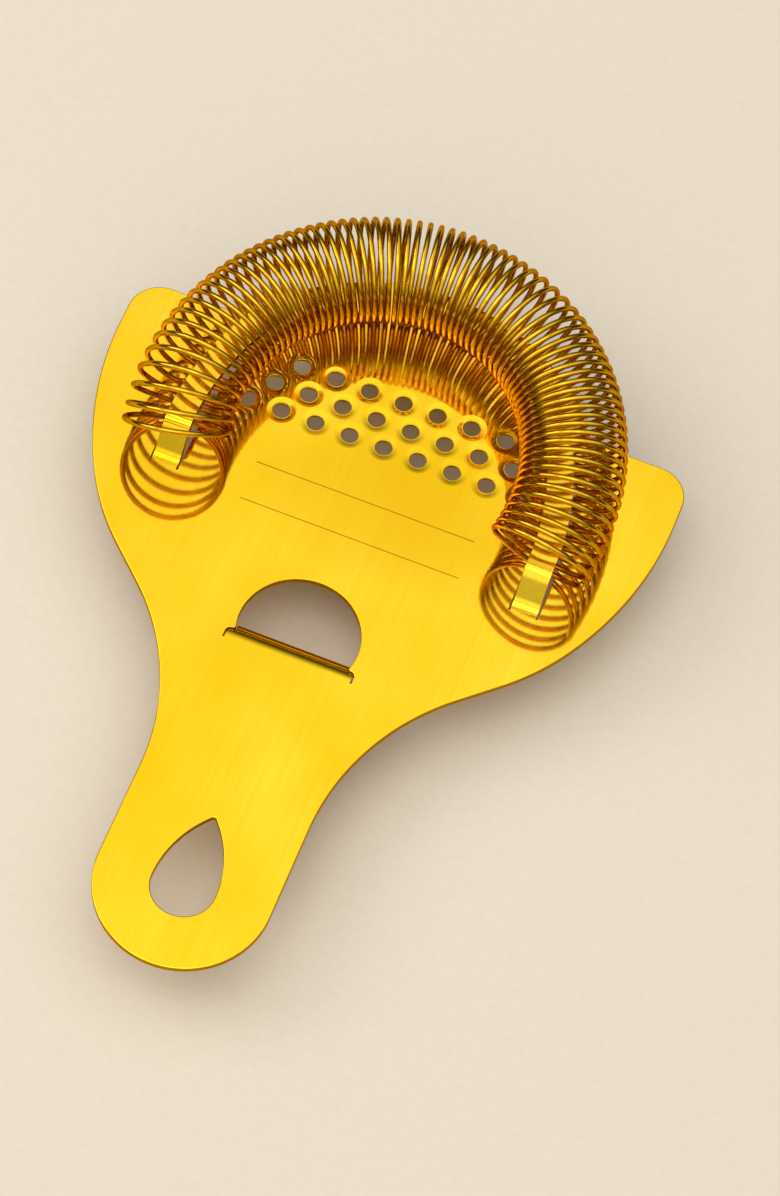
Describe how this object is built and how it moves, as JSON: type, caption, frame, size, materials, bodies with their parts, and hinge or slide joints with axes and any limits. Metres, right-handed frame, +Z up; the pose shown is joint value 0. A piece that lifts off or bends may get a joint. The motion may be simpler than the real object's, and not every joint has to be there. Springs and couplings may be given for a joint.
{
  "type": "hawthorne strainer",
  "caption": "Flat perforated cocktail strainer plate with a hanging handle, finger tab and side ears, and an open coil spring held on two bent prongs.",
  "frame": {"origin": "centre of the head's front arc, on the underside of the flat plate", "axes": "+Z up through the plate to the side that carries the coil, +Y from the handle to the front of the head, +X to the right seen from above"},
  "size_m": [0.106, 0.149, 0.0338],
  "materials": {
    "plated_sheet": "gold-plated stainless steel, bright with fine brushing",
    "plated_wire": "gold-plated spring wire, bright"
  },
  "bodies": {
    "plate": {"strainer_plate": "plated_sheet"},
    "spring": {"coil_spring": "plated_wire"}
  },
  "joints": [
    {"name": "spring_slide", "type": "slide", "parent": "plate", "child": "spring", "axis": [0, 1, 0], "range_m": [-0.0025, 0.03], "deforming": ["coil_spring"]}
  ]
}
